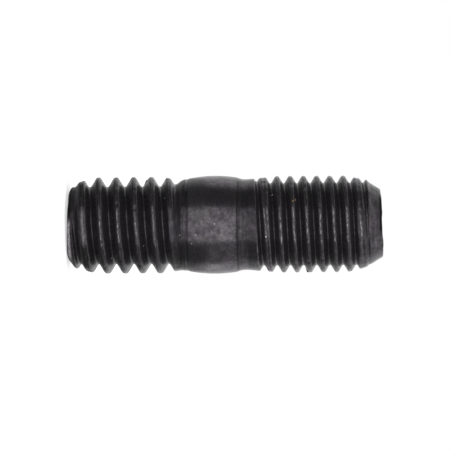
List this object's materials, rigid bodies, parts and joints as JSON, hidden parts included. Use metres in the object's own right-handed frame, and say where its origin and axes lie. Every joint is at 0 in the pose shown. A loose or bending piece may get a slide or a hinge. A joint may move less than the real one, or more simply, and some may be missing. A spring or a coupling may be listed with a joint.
{
  "type": "threaded stud",
  "caption": "Double-ended threaded stud of blackened steel, with a coarse thread on one end, a fine thread on the other and a crowned plain barrel between them.",
  "frame": {"origin": "centre of the coarse end's flat face, on which the stud stands", "axes": "+Z along the stud's axis, from the coarse end to the fine end"},
  "size_m": [0.0078, 0.0078, 0.0254],
  "materials": {
    "stud": "black oxide, slightly oily, satin"
  },
  "bodies": {
    "root": {"stud": "stud"}
  },
  "joints": []
}
